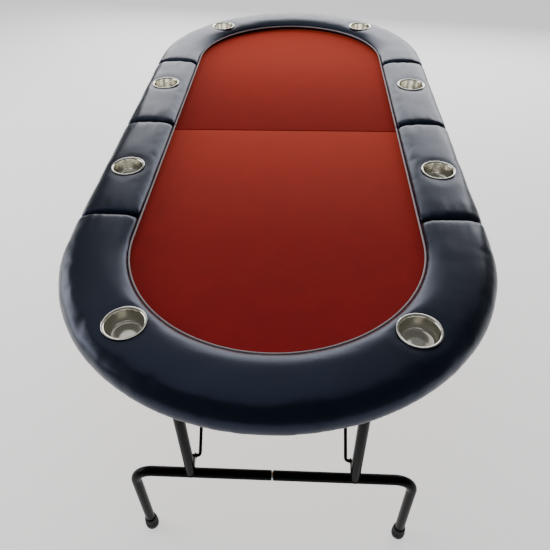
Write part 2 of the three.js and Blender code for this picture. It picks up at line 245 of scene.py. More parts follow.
def fibreboard():
    # pressed fibreboard, sealed: tan, speckled with darker fibres
    sockets = {"IOR": 1.45, "Specular IOR Level": 0.3}
    material, tree, shader, place = newMaterial("fibreboard", sockets)
    fleck = spots(tree, place, 0.0025, 4.0, (1.0, 2.4, 1.0))
    cloudy = spots(tree, place, 0.07)
    tone = blendColours(tree, fleck, "#7C5B3A", "#B89468")
    shade = blendColours(tree, cloudy, "#B8A58C", "#FFFFFF")
    both = addNode(
        tree,
        "ShaderNodeMix",
        {"data_type": "RGBA", "blend_type": "MULTIPLY"},
        {0: 0.6, 6: tone, 7: shade},
    ).outputs[2]
    tree.links.new(both, shader.inputs["Base Color"])
    tree.links.new(spread(tree, fleck, 0.6, 0.8), shader.inputs["Roughness"])
    tree.links.new(raised(tree, fleck, 0.0001, 0.5), shader.inputs["Normal"])
    return material


def planedPine(along):
    # planed pine: yellow-white with darker growth lines that run along the batten
    sockets = {"IOR": 1.45, "Specular IOR Level": 0.35}
    material, tree, shader, place = newMaterial(f"planedPine{along}", sockets)
    stretch = (0.06, 1.0, 1.0) if along == "X" else (1.0, 0.06, 1.0)
    grain = spots(tree, place, 0.006, 4.0, stretch)
    tree.links.new(blendColours(tree, grain, "#A9793F", "#DDBC84"), shader.inputs["Base Color"])
    tree.links.new(spread(tree, grain, 0.55, 0.7), shader.inputs["Roughness"])
    tree.links.new(raised(tree, grain, 0.00015, 0.5), shader.inputs["Normal"])
    return material


def mouldedRubber():
    # moulded black rubber: dull, with a dusty bloom
    sockets = {"IOR": 1.5, "Specular IOR Level": 0.3}
    material, tree, shader, place = newMaterial("mouldedRubber", sockets)
    dust = spots(tree, place, 0.006, 3.0)
    tree.links.new(blendColours(tree, dust, "#0A0A0B", "#1B1B1C"), shader.inputs["Base Color"])
    tree.links.new(spread(tree, dust, 0.55, 0.75), shader.inputs["Roughness"])
    tree.links.new(raised(tree, spots(tree, place, 0.0012), 0.00006), shader.inputs["Normal"])
    return material


def closedCellFoam():
    # dark closed-cell foam, seen only as a line at the fold
    material, tree, shader, place = newMaterial("closedCellFoam", {"Roughness": 0.9})
    cells = spots(tree, place, 0.0012, 2.0)
    tree.links.new(blendColours(tree, cells, "#1A1A1C", "#2E2E31"), shader.inputs["Base Color"])
    tree.links.new(raised(tree, cells, 0.0002), shader.inputs["Normal"])
    return material


def cordPaintedAsHighlight():
    # pale grey spun cord: the piping is real, but its pale grey is a painted highlight for the
    # light that the rail's dark inner edge catches; its strands coarser than real ones so that they
    # show
    sockets = {"Roughness": 0.8, "Sheen Weight": 0.3, "Sheen Roughness": 0.5}
    material, tree, shader, place = newMaterial("cordPaintedAsHighlight", sockets)
    strand = spots(tree, place, 0.0016, 2.0)
    # these pale greys are painted highlight, not the cord's own colour
    tree.links.new(blendColours(tree, strand, "#8E8B92", "#D0CBCD"), shader.inputs["Base Color"])
    tree.links.new(raised(tree, strand, 0.0003, 0.7), shader.inputs["Normal"])
    return material


vinyl = embossedVinyl()
pipingWithPaintedHighlight = cordPaintedAsHighlight()
redCloth = brushedCloth()
stainless = polishedStainless()
blackCoat = powderCoat()
zinc = zincPlate()
boardFinish = fibreboard()
pineAcross = planedPine("X")
pineAlong = planedPine("Y")
rubber = mouldedRubber()
foam = closedCellFoam()
print("materials made")


# modelling helpers
def takeActive(name):
    piece = bpy.context.active_object
    piece.name = name
    piece.data.name = name
    bpy.ops.object.transform_apply(location=True, rotation=True, scale=True)
    return piece


def makeActive(piece):
    bpy.ops.object.select_all(action="DESELECT")
    piece.select_set(True)
    bpy.context.view_layer.objects.active = piece


def editMode(kind="FACE"):
    bpy.ops.object.mode_set(mode="EDIT")
    bpy.ops.mesh.select_mode(type=kind)


def objectMode():
    bpy.ops.object.mode_set(mode="OBJECT")


def pick(piece, kind, test):
    # selects the vertices, edges or faces whose middle passes the test
    bpy.ops.mesh.select_mode(type=kind)
    bpy.ops.mesh.select_all(action="DESELECT")
    shape = bmesh.from_edit_mesh(piece.data)
    if kind == "VERT":
        for vertex in shape.verts:
            vertex.select = test(vertex.co)
    elif kind == "EDGE":
        for edge in shape.edges:
            edge.select = all(test(vertex.co) for vertex in edge.verts)
    else:
        for face in shape.faces:
            face.select = test(face.calc_center_median())
    shape.select_flush_mode()
    bmesh.update_edit_mesh(piece.data)


def pushOut(by):
    bpy.ops.mesh.extrude_region_move(TRANSFORM_OT_translate={"value": tuple(by)})


def closeAndTurnOut():
    bpy.ops.mesh.select_all(action="SELECT")
    bpy.ops.mesh.remove_doubles(threshold=weld)
    bpy.ops.mesh.fill_holes(sides=0)
    bpy.ops.mesh.select_all(action="SELECT")
    bpy.ops.mesh.normals_make_consistent(inside=False)


def applied(piece, kind, **settings):
    makeActive(piece)
    modifier = piece.modifiers.new(kind, kind)
    for name, value in settings.items():
        setattr(modifier, name, value)
    bpy.ops.object.modifier_apply(modifier=modifier.name)


def smooth(piece, degrees=35):
    makeActive(piece)
    bpy.ops.object.shade_smooth_by_angle(angle=math.radians(degrees))


def copied(piece, name, matrix):
    twin = piece.copy()
    twin.data = piece.data.copy()
    twin.name = name
    twin.data.name = name
    bpy.context.collection.objects.link(twin)
    twin.data.transform(matrix)
    return twin


def joined(pieces, name):
    bpy.ops.object.select_all(action="DESELECT")
    for piece in pieces:
        piece.select_set(True)
    bpy.context.view_layer.objects.active = pieces[0]
    bpy.ops.object.join()
    pieces[0].name = name
    pieces[0].data.name = name
    return pieces[0]


def settle(piece, material, body, slot, *nodes):
    # gives a piece its finish, the body it rides on and the solids it stands for
    piece.data.materials.clear()
    piece.data.materials.append(material)
    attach(piece, body)
    if nodes:
        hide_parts(*nodes)
    return piece


def sectionRing(name, points, y):
    # a closed outline that stands across the left rail at y; points are (across, height)
    bpy.ops.mesh.primitive_circle_add(
        vertices=len(points), radius=0.05, fill_type="NOTHING", location=(-halfWidth, y, 0)
    )
    ring = takeActive(name)
    for vertex, (across, height) in zip(ring.data.vertices, points):
        vertex.co = (-halfWidth + across, y, height)
    return ring


def roundTheEnd(name, points, reachY, steps=48):
    # carries an outline round the rounded end, and straight to reachY at both sides
    piece = sectionRing(name, points, arcY)
    editMode("EDGE")
    bpy.ops.mesh.select_all(action="SELECT")
    bpy.ops.mesh.spin(steps=steps, angle=-math.pi, center=(0, arcY, 0), axis=(0, 0, 1))
    for side in sides:
        pick(piece, "EDGE", lambda co: abs(co.y - arcY) < 1e-4 and co.x * side > 0)
        pushOut((0, reachY - arcY, 0))
    closeAndTurnOut()
    objectMode()
    return piece


def straightRun(name, points, y0, y1, side):
    # carries the same outline straight along one side
    piece = sectionRing(name, points, y0)
    editMode("EDGE")
    bpy.ops.mesh.select_all(action="SELECT")
    pushOut((0, y1 - y0, 0))
    closeAndTurnOut()
    objectMode()
    if side > 0:
        for vertex in piece.data.vertices:
            vertex.co.x = -vertex.co.x
        piece.data.flip_normals()
    return piece


def turnedPiece(name, profile, centre, count=64):
    # a disc carried up and down through rings of the given (radius, height)
    radius, height = profile[0]
    bpy.ops.mesh.primitive_circle_add(
        vertices=count,
        radius=radius,
        fill_type="NGON",
        location=(centre.x, centre.y, centre.z + height),
    )
    piece = takeActive(name)
    editMode("FACE")
    bpy.ops.mesh.select_all(action="SELECT")
    for newRadius, newHeight in profile[1:]:
        pushOut((0, 0, newHeight - height))
        scale = newRadius / radius
        bpy.ops.transform.resize(
            value=(scale, scale, 1), center_override=(centre.x, centre.y, centre.z + newHeight)
        )
        radius, height = newRadius, newHeight
    closeAndTurnOut()
    objectMode()
    return piece


def bentTube(name, corners, bends, radius, count=24, bendSteps=10):
    # a round bar or tube run through corners, each rounded with its own radius
    heading = (corners[1] - corners[0]).normalized()
    bpy.ops.mesh.primitive_circle_add(
        vertices=count,
        radius=radius,
        fill_type="NOTHING",
        location=corners[0],
        rotation=heading.to_track_quat("Z", "Y").to_euler(),
    )
    piece = takeActive(name)
    editMode("EDGE")
    bpy.ops.mesh.select_all(action="SELECT")
    here = corners[0]
    for i, bend in enumerate(bends):
        corner = corners[i + 1]
        back = (corners[i] - corner).normalized()
        on = (corners[i + 2] - corner).normalized()
        half = back.angle(on) / 2
        reach = bend / math.tan(half)
        start = corner + back * reach
        centre = corner + (back + on).normalized() * bend / math.sin(half)
        axis = (start - centre).cross(corner + on * reach - centre).normalized()
        pushOut(start - here)
        sweep = 2 * half - math.pi  # with no window, spin turns the other way
        bpy.ops.mesh.spin(steps=bendSteps, angle=sweep, center=centre, axis=axis)
        here = corner + on * reach
    pushOut(corners[-1] - here)
    closeAndTurnOut()
    objectMode()
    smooth(piece, 40)
    return piece


def plugEnds(piece, ends, wall):
    # sinks a plug a little way into each open end of a tube
    makeActive(piece)
    editMode("FACE")
    for end in ends:
        pick(piece, "FACE", lambda co: (co - end).length < 0.004)
        bpy.ops.mesh.inset(thickness=wall, depth=0)
        bpy.ops.mesh.inset(thickness=0.0004, depth=-0.0012)
    objectMode()
    smooth(piece, 35)


# padded rail
rail = {
    "voxel": 0.006,
    "pressure": 1.2,
    "looser": -0.002,  # a negative shrink lets the vinyl grow by this share
    "cap": 0.002,  # the most that a point may move in the sim
    "frames": 20,
    "endRound": 0.016,  # how far from a joint the pad starts to roll down
    "endDrop": 0.0095,
    "endTuck": 0.0045,  # how far its sides draw in there
    "rollFrom": 0.012,  # height over the rail's bottom where the roll starts
    "pucker": 0.00176,
    "puckerReach": 0.055,
    "puckerStart": 0.012,
    "unevenness": 0.0007,
}


def railSection():
    inner = railWidth
    lip = deckInset - 0.0004
    return [
        (lip, railBottom + 0.0008),
        (0.0060, railBottom + 0.0002),
        (0.0020, railBottom + 0.0030),
        (0.0004, railBottom + 0.0100),
        (0.0004, railBottom + 0.0240),
        (0.0036, railBottom + 0.0365),
        (0.0120, railBottom + 0.0465),
        (0.0260, railTop - 0.0046),
        (0.0460, railTop - 0.0016),
        (0.0720, railTop - 0.0006),
        (0.1000, railTop - 0.0006),
        (0.1240, railTop - 0.0020),
        (0.1410, railTop - 0.0052),
        (inner - 0.0050, railTop - 0.0110),
        (inner - 0.0008, railTop - 0.0190),
        (inner - 0.0006, clothTop + 0.0042),
        (inner - 0.0018, clothTop + 0.0014),
        (inner - 0.0074, clothTop + 0.0014),
        (inner - 0.0074, boardTop + 0.0006),
        (lip, boardTop + 0.0006),
    ]


def rollDown(piece, jointYs):
    # rounds a pad over where it meets the next one
    for vertex in piece.data.vertices:
        co = vertex.co
        for jointY in jointYs:
            near = 1 - min(abs(co.y - jointY) / rail["endRound"], 1)
            fall = 1 - math.sqrt(1 - near * near)
            base = railBottom + rail["rollFrom"]
            high = max(0.0, (co.z - base) / (railTop - base))
            co.z -= rail["endDrop"] * fall * high
            outward = abs(co.x) - (halfWidth - railWidth / 2)
            if abs(outward) > railWidth * 0.4 and co.y > arcY:
                tuck = math.copysign(rail["endTuck"] * fall, outward)
                co.x -= math.copysign(1, co.x) * tuck


def distanceIn(co):
    # how far a point lies in from the table's edge
    if co.y > arcY:
        return halfWidth - abs(co.x)
    return halfWidth - math.hypot(co.x, co.y - arcY)


def held(co, jointYs):
    across = distanceIn(co)
    if co.z < boardTop + 0.002 and across > 0.006:
        return True
    if co.z < railBottom + 0.008 or across > railWidth - 0.012 and co.z < railTop - 0.016:
        return True
    if any(abs(co.y - jointY) < 0.004 for jointY in jointYs):
        return True
    return any(
        math.hypot(co.x - centre.x, co.y - centre.y) < cup["rim"] + 0.005
        for kind, side, centre in nearCups
    )


def puffUp(piece, jointYs):
    # fills the vinyl out over its foam
    before = [vertex.co.copy() for vertex in piece.data.vertices]
    group = piece.vertex_groups.new(name="held")
    group.add([v.index for v in piece.data.vertices if held(v.co, jointYs)], 1.0, "REPLACE")
    modifier = piece.modifiers.new("Cloth", "CLOTH")
    cloth = modifier.settings
    cloth.quality = 4
    cloth.use_pressure = True
    cloth.uniform_pressure_force = rail["pressure"]
    cloth.shrink_min = rail["looser"]
    cloth.bending_stiffness = 1.5
    cloth.effector_weights.gravity = 0
    cloth.vertex_group_mass = "held"
    for step in range(1, rail["frames"] + 1):
        bpy.context.scene.frame_set(step)
    makeActive(piece)
    bpy.ops.object.modifier_apply(modifier=modifier.name)
    bpy.context.scene.frame_set(1)
    for vertex, start in zip(piece.data.vertices, before):
        moved = vertex.co - start
        if moved.length > rail["cap"]:
            vertex.co = start + moved.normalized() * rail["cap"]
    piece.vertex_groups.clear()
    applied(piece, "SMOOTH", factor=0.5, iterations=12)


def cutForCup(piece, centre):
    bpy.ops.mesh.primitive_cylinder_add(
        vertices=64, radius=cup["hole"], depth=0.12, location=(centre.x, centre.y, railTop)
    )
    drill = takeActive("cupDrill")
    applied(piece, "BOOLEAN", operation="DIFFERENCE", solver="MANIFOLD", object=drill)
    bpy.data.objects.remove(drill)


def pucker(piece, jointYs, seed):
    # small gathers that run away from each joint, and slow unevenness over the whole pad
    normals = [vertex.normal.copy() for vertex in piece.data.vertices]
    for vertex, normal in zip(piece.data.vertices, normals):
        co = vertex.co
        if co.z < boardTop + 0.004 and distanceIn(co) > 0.01:
            continue
        lift = rail["unevenness"] * noise.noise(Vector((co.x + seed, co.y, co.z)) * 14)
        for jointY in jointYs:
            away = abs(co.y - jointY)
            if away > rail["puckerReach"] * 2:
                continue
            fade = math.exp(-((away / rail["puckerReach"]) ** 2))
            fade *= min(1, away / rail["puckerStart"])
            across = distanceIn(co)
            wave = noise.noise(Vector((across * 52 + seed, away * 7, seed)))
            lift += rail["pucker"] * fade * wave
        vertex.co += normal * lift


def makePad(name, piece, jointYs, cups, seed):
    applied(piece, "REMESH", mode="VOXEL", voxel_size=rail["voxel"])
    rollDown(piece, jointYs)
    puffUp(piece, jointYs)
    for centre in cups:
        cutForCup(piece, centre)
    applied(piece, "SUBSURF", levels=1, render_levels=1)
    pucker(piece, jointYs, seed)
    smooth(piece, 60)
    print("pad", name, len(piece.data.polygons))
    return piece


section = railSection()
endJoints = [padSplit - 0.0003]
endPad = roundTheEnd("nearEndPad", section, endJoints[0])
makePad("nearEndPad", endPad, endJoints, [c for kind, side, c in nearCups if kind == "end"], 3.1)
sidePads = []
for side in sides:
    run = straightRun(
        f"nearSidePad{sideName(side).title()}", section, padSplit + 0.0002, sideHigh.y, side
    )
    cups = [c for kind, cupSide, c in nearCups if kind == "side" and cupSide == side]
    makePad(run.name, run, [padSplit, sideHigh.y], cups, 7.7 * side)
    sidePads.append(run)

farEndPad = copied(endPad, "farEndPad", halfTurn)
farSidePads = [
    copied(pad, f"farSidePad{sideName(-side).title()}", halfTurn)
    for pad, side in zip(sidePads, sides)
]
settle(endPad, vinyl, "near_half", "vinyl", "near_end_pad")
settle(farEndPad, vinyl, "far_half", "vinyl", "far_end_pad")
for pad, side in zip(sidePads, sides):
    settle(pad, vinyl, "near_half", "vinyl", f"near_side_pad_{sideName(side)}")
for pad, side in zip(farSidePads, sides):
    settle(pad, vinyl, "far_half", "vinyl", f"far_side_pad_{sideName(-side)}")
print("rail padded")

# playing surface
surface = {"underLip": 0.0065, "clothThick": 0.0012, "edgeRoll": 0.0025}


def surfaceOutline(name, z, reach):
    # a half disc with a straight stretch that runs up to the fold
    bpy.ops.mesh.primitive_circle_add(
        vertices=128, radius=reach, fill_type="NGON", location=(0, arcY, z)
    )
    piece = takeActive(name)
    editMode("FACE")
    bpy.ops.mesh.select_all(action="SELECT")
    bpy.ops.mesh.bisect(plane_co=(0, arcY, z), plane_no=(0, 1, 0), clear_outer=True)
    pick(piece, "EDGE", lambda co: abs(co.y - arcY) < onPlane)
    pushOut((0, seamY - arcY, 0))
    bpy.ops.mesh.select_all(action="SELECT")
    bpy.ops.mesh.remove_doubles(threshold=weld)
    return piece


def clothSheet(name):
    reach = clothHigh.x + surface["underLip"]
    piece = surfaceOutline(name, clothTop - surface["clothThick"] / 2, reach)
    # the cloth rolls over the foam's edge at the fold
    pick(piece, "EDGE", lambda co: abs(co.y - seamY) < onPlane)
    roll = surface["edgeRoll"]
    bpy.ops.transform.translate(value=(0, -roll, 0))
    for outBy, downBy in ((0.62, 0.16), (0.3, 0.34), (0, 0.9)):
        pushOut((0, roll * outBy, -roll * downBy))
    objectMode()
    applied(piece, "SOLIDIFY", thickness=surface["clothThick"], offset=0)
    smooth(piece, 50)
    return piece


def foamSheet(name):
    bottom = clothLow.z + 0.0001
    piece = surfaceOutline(name, bottom, clothHigh.x)
    pick(piece, "EDGE", lambda co: abs(co.y - seamY) < onPlane)
    bpy.ops.transform.translate(value=(0, -0.0008, 0))
    bpy.ops.mesh.select_mode(type="FACE")
    bpy.ops.mesh.select_all(action="SELECT")
    pushOut((0, 0, clothTop - surface["clothThick"] - 0.0002 - bottom))
    closeAndTurnOut()
    objectMode()
    applied(piece, "BEVEL", width=0.0015, segments=2, limit_method="ANGLE")
    smooth(piece, 50)
    return piece


clothNear = clothSheet("nearCloth")
foamNear = foamSheet("nearFoam")
clothFar = copied(clothNear, "farCloth", halfTurn)
foamFar = copied(foamNear, "farFoam", halfTurn)
for half, sheet, underlay in (("near", clothNear, foamNear), ("far", clothFar, foamFar)):
    settle(underlay, foam, f"{half}_half", "cloth", f"{half}_playing_surface")
    settle(sheet, redCloth, f"{half}_half", "cloth")
print("playing surface laid")

# piping, and the vinyl turned under the deck
piping = {"radius": 0.0021, "out": 0.0003, "down": 0.0185}
turnUnder = {"from": 0.0128, "to": 0.043, "thick": 0.0007}


def pipingSection():
    # a small round cord sewn in where the rail's top turns down to its inner wall
    centre = (railWidth + piping["out"], railTop - piping["down"])
    return [
        (
            centre[0] + piping["radius"] * math.cos(2 * math.pi * k / 10),
            centre[1] + piping["radius"] * math.sin(2 * math.pi * k / 10),
        )
        for k in range(10)
    ]


def stripSection():
    top = deckLow.z - 0.0003
    low = top - turnUnder["thick"]
    return [
        (turnUnder["from"], top),
        (turnUnder["from"], low),
        (turnUnder["to"], low),
        (turnUnder["to"], top),
    ]


def bandSection():
    # vinyl over the boards' edges, seen only in the joints between the pads
    inner, outer = deckInset - 0.0001, deckInset - 0.0003
    return [
        (outer, railBottom + 0.001),
        (outer, boardTop),
        (inner, boardTop),
        (inner, railBottom + 0.001),
    ]


pipeNear = roundTheEnd("nearPiping", pipingSection(), sideHigh.y - 0.001, 64)
smooth(pipeNear, 60)
stripNear = roundTheEnd("nearTurnUnder", stripSection(), sideHigh.y - 0.001, 64)
smooth(stripNear, 30)
bandNear = roundTheEnd("nearRimBand", bandSection(), sideHigh.y - 0.001, 60)
bandFar = copied(bandNear, "farRimBand", halfTurn)
pipeFar = copied(pipeNear, "farPiping", halfTurn)
stripFar = copied(stripNear, "farTurnUnder", halfTurn)
for half, strip, band, pipe in (
    ("near", stripNear, bandNear, pipeNear),
    ("far", stripFar, bandFar, pipeFar),
):
    settle(strip, vinyl, f"{half}_half", "vinyl")
    settle(band, vinyl, f"{half}_half", "vinyl")
    # the piping's pale grey is a painted highlight along the rail's inner edge
    settle(pipe, pipingWithPaintedHighlight, f"{half}_half", "cloth")

staple = {"wide": 0.010, "wire": 0.0006, "pitch": 0.034, "back": 0.008}


def stapleModel():
    bpy.ops.mesh.primitive_cube_add(size=1, location=(0, 0, -staple["wire"] * 0.5))
    model = bpy.context.active_object
    model.scale = (staple["wide"], staple["wire"] * 2, staple["wire"])
    model = takeActive("staple")
    applied(model, "BEVEL", width=0.00015, segments=1)
    return model


def stapleRow(name):
    # one row round the underside, a little back from the strip's edge
    model = stapleModel()
    inset = turnUnder["to"] - staple["back"]
    z = deckLow.z - 0.0003 - turnUnder["thick"]
    places = []
    straight = int((seamY - 0.03 - arcY) / staple["pitch"])
    for k in range(straight + 1):
        for side in sides:
            y = arcY + 0.01 + k * staple["pitch"]
            places.append(((halfWidth - inset) * side, y, math.pi / 2))
    radius = halfWidth - inset
    around = int(math.pi * radius / staple["pitch"])
    for k in range(1, around):
        turn = math.pi + math.pi * k / around
        places.append((radius * math.cos(turn), arcY + radius * math.sin(turn), turn + math.pi / 2))
    row = [
        copied(model, f"staple{i}", Matrix.Translation((x, y, z)) @ Matrix.Rotation(turn, 4, "Z"))
        for i, (x, y, turn) in enumerate(places)
    ]
    bpy.data.objects.remove(model)
    return joined(row, name)


staplesNear = stapleRow("nearStaples")
staplesFar = copied(staplesNear, "farStaples", halfTurn)
settle(staplesNear, zinc, "near_half", "zinc_steel")
settle(staplesFar, zinc, "far_half", "zinc_steel")
print("vinyl turned under and stapled")



# cup holders
def cupProfile(height):
    # from the middle of the base, up the outside, over the rolled rim and down the inside
    foot, throat, rim = cup["foot"], cup["throat"], cup["rim"]
    wall, corner = cup["wall"], cup["corner"]
    lift = height - cup["rimRest"]
    outside = [(0.010, 0.0012), (0.018, 0.0012), (0.020, 0.0), (foot - corner, 0.0)]
    for k in range(1, 5):
        turn = math.pi / 2 * k / 4
        outside.append(
            (foot - corner + corner * math.sin(turn), corner - corner * math.cos(turn))
        )
    outside += [(throat, lift - 0.003), (throat + 0.0012, lift - 0.0006), (rim - 0.001, lift)]
    over = [
        (rim, lift + 0.0005),
        (rim, lift + 0.0011),
        (rim - 0.0008, lift + 0.0016),
        (rim - 0.0022, lift + 0.0017),
        (rim - 0.0036, lift + 0.0012),
        (throat + 0.0006, lift + 0.0002),
        (throat - 0.0004, lift - 0.0012),
        (throat - wall, lift - 0.0034),
    ]
    inside = [(foot - wall, corner)]
    for k in range(1, 5):
        turn = math.pi / 2 * k / 4
        inside.append(
            (
                foot - corner + (corner - wall) * math.cos(turn),
                corner - (corner - wall) * math.sin(turn),
            )
        )
    inside += [(0.0205, wall), (0.0185, 0.0012 + wall), (0.010, 0.0012 + wall)]
    return outside + over + inside


lowCup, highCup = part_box("near_side_cup_left")
cupModel = turnedPiece("cupModel", cupProfile(highCup.z - lowCup.z), Vector((0, 0, 0)), 96)
smooth(cupModel, 50)
for half in ("near", "far"):
    for kind, side, centre in nearCups:
        spot = Matrix.Translation(centre)
        name = sideName(side)
        if half == "far":
            spot = halfTurn @ spot
            name = sideName(-side)
        node = f"{half}_{kind}_cup_{name}"
        holder = copied(cupModel, f"{half}{kind.title()}Cup{name.title()}", spot)
        settle(holder, stainless, node, "stainless", node)
bpy.data.objects.remove(cupModel)
print("cups dropped in")

# leg frames
leg = {"tube": 0.0125, "wall": 0.0015, "footBend": 0.048, "bead": 0.0018}
lug = {"round": 0.007, "root": 0.017, "flare": 1.9, "thick": 0.003, "off": 0.0008}
stay = {
    "rod": 0.004,
    "headBend": 0.016,
    "footBend": 0.008,
    "armIn": 0.024,  # from the upright's middle in to the foot of the arm
    "lean": 0.014,  # from there in to the head
    "washer": 0.0068,
    "washerThick": 0.0012,
    "washerOff": 0.0035,
}
pivot = Vector(joints["near_leg_fold"]["pos_m"])
stayPivot = Vector(joints["near_stay_fold"]["pos_m"])
sleeveLow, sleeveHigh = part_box("near_foot_sleeve")
barZ = (sleeveLow.z + sleeveHigh.z) / 2
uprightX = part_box("near_upright_right")[1].x - leg["tube"]


def atHalf(piece, half):
    if half == "far":
        piece.data.transform(halfTurn)
    return piece


def nameAt(half, side):
    # the far half is the near one turned round, so left and right change places
    return sideName(-side if half == "far" else side)


def tubeEndBead(name, x, z, up):
    # the weld where an upright is coped over a tube that runs across it
    bpy.ops.mesh.primitive_torus_add(
        major_segments=48,
        minor_segments=8,
        major_radius=leg["tube"],
        minor_radius=leg["bead"],
        location=(0, 0, 0),
    )
    bead = takeActive(name)
    for vertex in bead.data.vertices:
        co = vertex.co
        reach = min(abs(co.y) / leg["tube"], 1.0)
        ripple = 0.0003 * math.sin(14 * math.atan2(co.y, co.x))
        co.z += leg["tube"] * math.sqrt(max(0.0, 1 - reach * reach)) * up + ripple
        co.x += x
        co.y += pivot.y
        co.z += z
    smooth(bead, 60)
    return bead


def uprightPiece(half, side):
    x = side * uprightX
    top = Vector((x, pivot.y, pivot.z))
    foot = Vector((x, pivot.y, barZ))
    name = nameAt(half, side)
    tube = bentTube(f"{half}Upright{name.title()}", [foot, top], [], leg["tube"], 32)
    tab = lugPiece(x, side)
    beads = [tubeEndBead("bead", x, barZ, 1), tubeEndBead("bead", x, pivot.z, -1)]
    piece = joined([tube, tab] + beads, tube.name)
    atHalf(piece, half)
    return settle(piece, blackCoat, f"{half}_leg", "black_steel", f"{half}_upright_{name}")


def lugPiece(x, side):
    # a pressed tab on the upright's inner side, round at the stay's pivot
    inner = x - side * (leg["tube"] + lug["off"])
    bpy.ops.mesh.primitive_circle_add(
        vertices=24,
        radius=lug["round"],
        fill_type="NGON",
        location=(inner, stayPivot.y, stayPivot.z),
        rotation=(0, math.pi / 2, 0),
    )
    tab = takeActive("lug")
    editMode("VERT")
    pick(tab, "VERT", lambda co: co.y < stayPivot.y - 0.001)
    bpy.ops.transform.translate(value=(0, -lug["root"], 0))
    bpy.ops.transform.resize(value=(1, 1, lug["flare"]), center_override=stayPivot)
    bpy.ops.mesh.select_mode(type="FACE")
    bpy.ops.mesh.select_all(action="SELECT")
    pushOut((side * lug["thick"], 0, 0))
    closeAndTurnOut()
    objectMode()
    applied(tab, "BEVEL", width=0.0005, segments=2, limit_method="ANGLE")
    smooth(tab, 40)
    return tab


def footTubePiece(half, side):
    capLow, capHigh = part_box(f"{half}_foot_cap_right")
    footX = abs(capLow.x + capHigh.x) / 2
    name = nameAt(half, side)
    corners = [
        Vector((side * 0.002, pivot.y, barZ)),
        Vector((side * footX, pivot.y, barZ)),
        Vector((side * footX, pivot.y, 0.0075)),
    ]
    piece = bentTube(
        f"{half}FootTube{name.title()}", corners, [leg["footBend"]], leg["tube"], 32, 14
    )
    atHalf(piece, half)
    return settle(piece, blackCoat, f"{half}_leg", "black_steel", f"{half}_foot_tube_{name}")


footCap = {"radius": 0.018, "mouth": 0.0155, "ribs": 3}


def footCapPiece(half, side):
    # a bulging rubber boot with a worn sole and moulded rings
    low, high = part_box(f"{half}_foot_cap_{nameAt(half, side)}")
    tall = high.z - low.z
    big, mouth = footCap["radius"], footCap["mouth"]
    profile = [(0.0125, 0.0), (0.0150, 0.0006), (0.0170, 0.0030), (big - 0.0002, 0.0070)]
    profile += [(big, 0.0125), (big, 0.0180)]
    for k in range(footCap["ribs"]):
        z = 0.0200 + 0.0045 * k
        groove = big - 0.0009 - 0.0003 * k
        ridge = big - 0.0002 - 0.0004 * k
        profile += [(groove, z), (groove, z + 0.0012)]
        profile += [(ridge, z + 0.0020), (ridge - 0.0001, z + 0.0032)]
    profile += [(mouth + 0.0006, tall - 0.0060), (mouth, tall - 0.0020), (mouth - 0.0008, tall)]
    profile += [(leg["tube"] + 0.0004, tall), (leg["tube"] + 0.0003, 0.0070)]
    centre = Vector(((low.x + high.x) / 2, (low.y + high.y) / 2, 0))
    piece = turnedPiece(f"{half}FootCap{nameAt(half, side).title()}", profile, centre, 48)
    smooth(piece, 35)
    return settle(piece, rubber, f"{half}_leg", "rubber", f"{half}_foot_cap_{nameAt(half, side)}")


def pivotTubePiece(half):
    low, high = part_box("near_pivot_tube")
    ends = [Vector((low.x, pivot.y, pivot.z)), Vector((high.x, pivot.y, pivot.z))]
    piece = bentTube(f"{half}PivotTube", ends, [], leg["tube"], 32)
    plugEnds(piece, ends, leg["wall"])
    atHalf(piece, half)
    return settle(piece, blackCoat, f"{half}_leg", "black_steel", f"{half}_pivot_tube")


def stayPiece(half):
    # one bent rod: its ends turn out through the lugs and are headed over
    low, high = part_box("near_stay")
    topY, topZ = high.y - stay["rod"], high.z - stay["rod"]
    endX = high.x
    armFoot = uprightX - stay["armIn"]
    armHead = armFoot - stay["lean"]
    foot = stayPivot
    corners = [
        Vector((-endX, foot.y, foot.z)),
        Vector((-armFoot, foot.y, foot.z)),
        Vector((-armHead, topY, topZ)),
        Vector((armHead, topY, topZ)),
        Vector((armFoot, foot.y, foot.z)),
        Vector((endX, foot.y, foot.z)),
    ]
    bends = [stay["footBend"], stay["headBend"], stay["headBend"], stay["footBend"]]
    rod = bentTube(f"{half}Stay", corners, bends, stay["rod"], 20, 8)
    washers = []
    for side in sides:
        bpy.ops.mesh.primitive_cylinder_add(
            vertices=28,
            radius=stay["washer"],
            depth=stay["washerThick"],
            location=(side * (uprightX - leg["tube"] - stay["washerOff"]), foot.y, foot.z),
            rotation=(0, math.pi / 2, 0),
        )
        washer = takeActive("washer")
        applied(washer, "BEVEL", width=0.0003, segments=2)
        smooth(washer, 40)
        washers.append(washer)
    piece = joined([rod] + washers, rod.name)
    atHalf(piece, half)
    return settle(piece, blackCoat, f"{half}_stay", "black_steel", f"{half}_stay")


for half in ("near", "far"):
    for side in sides:
        uprightPiece(half, side)
        footTubePiece(half, side)
        footCapPiece(half, side)
    pivotTubePiece(half)
    stayPiece(half)
print("legs framed")

# screws
screw = {"head": 0.0042, "high": 0.0022, "slot": 0.0011, "edge": 0.0006}


def screwModel():
    # a pan head with a cross recess, its face down
    profile = [(screw["head"], 0.0), (screw["head"], -screw["edge"])]
    for k in range(1, 5):
        turn = math.pi / 2 * k / 5
        profile.append(
            (
                screw["head"] * math.cos(turn),
                -screw["edge"] - (screw["high"] - screw["edge"]) * math.sin(turn),
            )
        )
    model = turnedPiece("screw", profile, Vector((0, 0, 0)), 20)
    for turn in (0, math.pi / 2):
        bpy.ops.mesh.primitive_cube_add(
            size=1, location=(0, 0, -screw["high"]), rotation=(0, 0, turn)
        )
        cutter = bpy.context.active_object
        cutter.scale = (screw["head"], screw["slot"], 0.0022)
        cutter = takeActive("crossCut")
        applied(model, "BOOLEAN", operation="DIFFERENCE", solver="MANIFOLD", object=cutter)
        bpy.data.objects.remove(cutter)
    smooth(model, 40)
    return model


